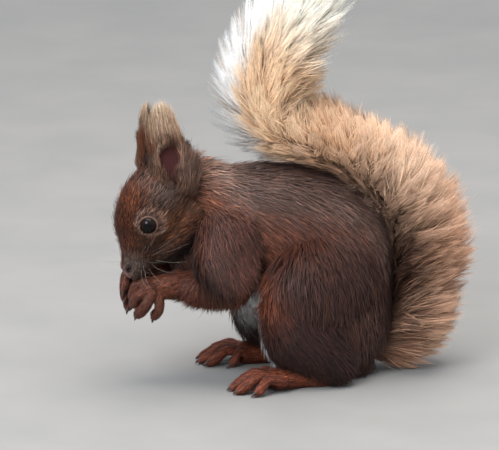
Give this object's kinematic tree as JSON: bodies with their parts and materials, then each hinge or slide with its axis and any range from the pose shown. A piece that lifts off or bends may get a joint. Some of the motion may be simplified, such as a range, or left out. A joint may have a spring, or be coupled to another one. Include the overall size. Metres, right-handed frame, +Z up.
{
  "type": "red squirrel figure",
  "caption": "Life-size red squirrel crouched on its haunches, both hands at its mouth, tail laid up its back and over.",
  "frame": {"origin": "on the floor under the middle of the animal's bounding box", "axes": "+Z up from the floor, -X the way the animal faces, -Y its left side"},
  "size_m": [0.1804, 0.0819, 0.2229],
  "materials": {
    "coat_brown": "short red-brown fur",
    "coat_red": "short chestnut-red fur",
    "tail_hair": "long loose hair, red-brown to blond and cream",
    "ear_hair": "hair with a pale tuft",
    "paw": "very short dark rufous fur, dark claws",
    "eye": "polished black-brown"
  },
  "bodies": {
    "root": {"head": "coat_brown", "left_ear": "ear_hair", "left_eye": "eye", "left_foot": "paw", "left_forearm": "coat_red", "left_hand": "paw", "left_shank": "coat_red", "left_thigh": "coat_red", "left_upper_arm": "coat_red", "neck": "coat_brown", "right_ear": "ear_hair", "right_eye": "eye", "right_foot": "paw", "right_forearm": "coat_red", "right_hand": "paw", "right_shank": "coat_red", "right_thigh": "coat_red", "right_upper_arm": "coat_red", "tail_base": "tail_hair", "tail_lower": "tail_hair", "tail_tip": "tail_hair", "tail_upper": "tail_hair", "trunk": "coat_brown"}
  },
  "joints": []
}
